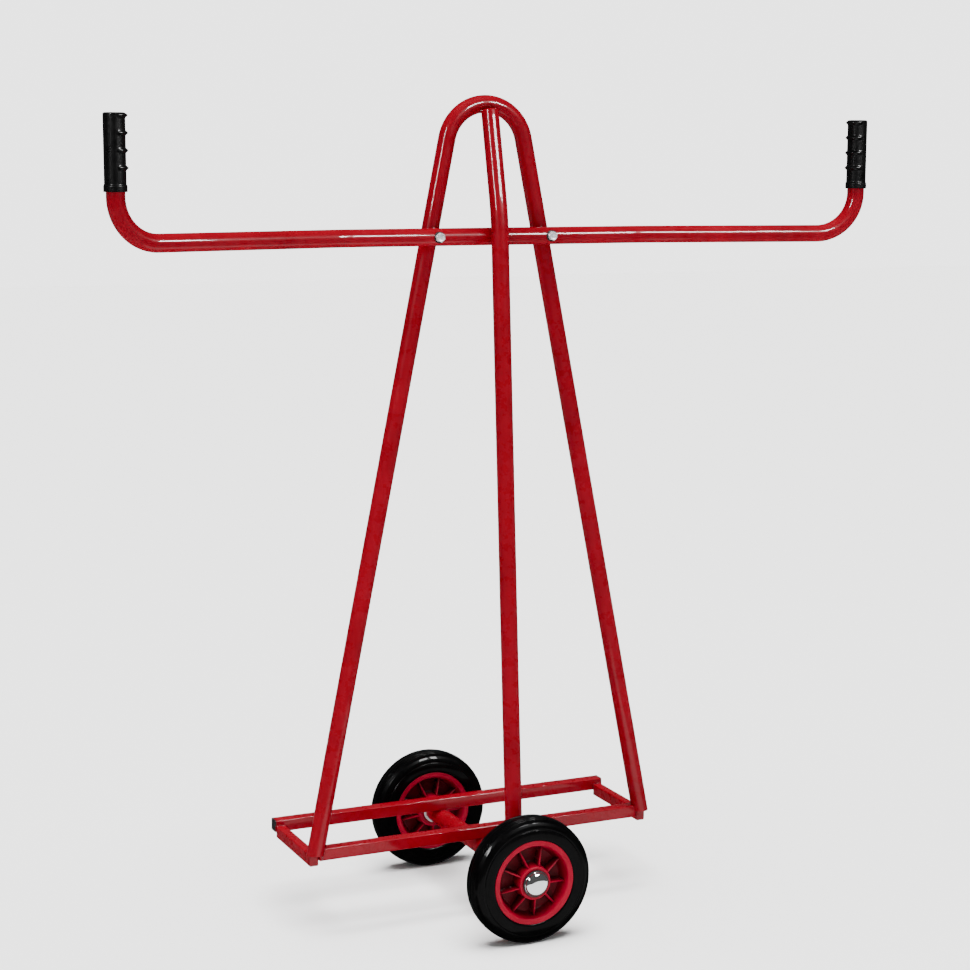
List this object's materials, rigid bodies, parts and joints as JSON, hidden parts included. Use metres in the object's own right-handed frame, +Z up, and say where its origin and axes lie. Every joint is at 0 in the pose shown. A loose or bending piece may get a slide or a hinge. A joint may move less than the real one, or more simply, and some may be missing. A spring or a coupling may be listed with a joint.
{
  "type": "board trolley",
  "caption": "Two-wheeled trolley for boards and sheets: tall tube hoop, bracing strut, low ledge and a wide handlebar with upturned grips.",
  "frame": {"origin": "on the floor, midway between the two wheels on the axle's line, at the bottom centre of the whole object", "axes": "+Z up, +X along the handlebar, +Y from the hoop towards the boards and along the axle"},
  "size_m": [1.2556, 0.4748, 1.3],
  "materials": {
    "frame_paint": "glossy deep red powder coat on steel tube",
    "grip_vinyl": "satin black moulded vinyl",
    "black_nylon": "satin black nylon",
    "zinc_plate": "bright zinc plate",
    "axle_steel": "drawn bright steel, lightly oiled",
    "spring_steel": "dark tempered spring steel",
    "cap_chrome": "polished chrome plate",
    "tyre_rubber": "solid black rubber, slight sheen",
    "rim_plastic": "bright red moulded plastic"
  },
  "bodies": {
    "frame": {"hoop_frame": "frame_paint", "front_strut": "frame_paint", "front_rail": "frame_paint", "rear_rail": "frame_paint", "left_side_arm": "frame_paint", "right_side_arm": "frame_paint", "arm_end_plates": "frame_paint", "axle_tube": "frame_paint", "handlebar": "frame_paint", "left_grip": "grip_vinyl", "right_grip": "grip_vinyl", "handlebar_bolts": "zinc_plate", "saddle_washers": "black_nylon", "rivet_nuts": "zinc_plate", "rear_rail_plugs": "black_nylon", "axle": "axle_steel", "thrust_washers": "zinc_plate", "outer_washers": "black_nylon", "star_lock_rings": "spring_steel", "front_hub_cap": "cap_chrome", "rear_hub_cap": "cap_chrome"},
    "front_wheel": {"front_tyre": "tyre_rubber", "front_rim": "rim_plastic", "front_bearing_cage": "black_nylon", "front_bearing_rollers": "axle_steel"},
    "rear_wheel": {"rear_tyre": "tyre_rubber", "rear_rim": "rim_plastic", "rear_bearing_cage": "black_nylon", "rear_bearing_rollers": "axle_steel"}
  },
  "joints": [
    {"name": "front_wheel_spin", "type": "hinge", "parent": "frame", "child": "front_wheel", "pos_m": [0, -0.2, 0.1], "axis": [0, 1, 0], "continuous": true},
    {"name": "rear_wheel_spin", "type": "hinge", "parent": "frame", "child": "rear_wheel", "pos_m": [0, 0.2, 0.1], "axis": [0, 1, 0], "continuous": true}
  ]
}
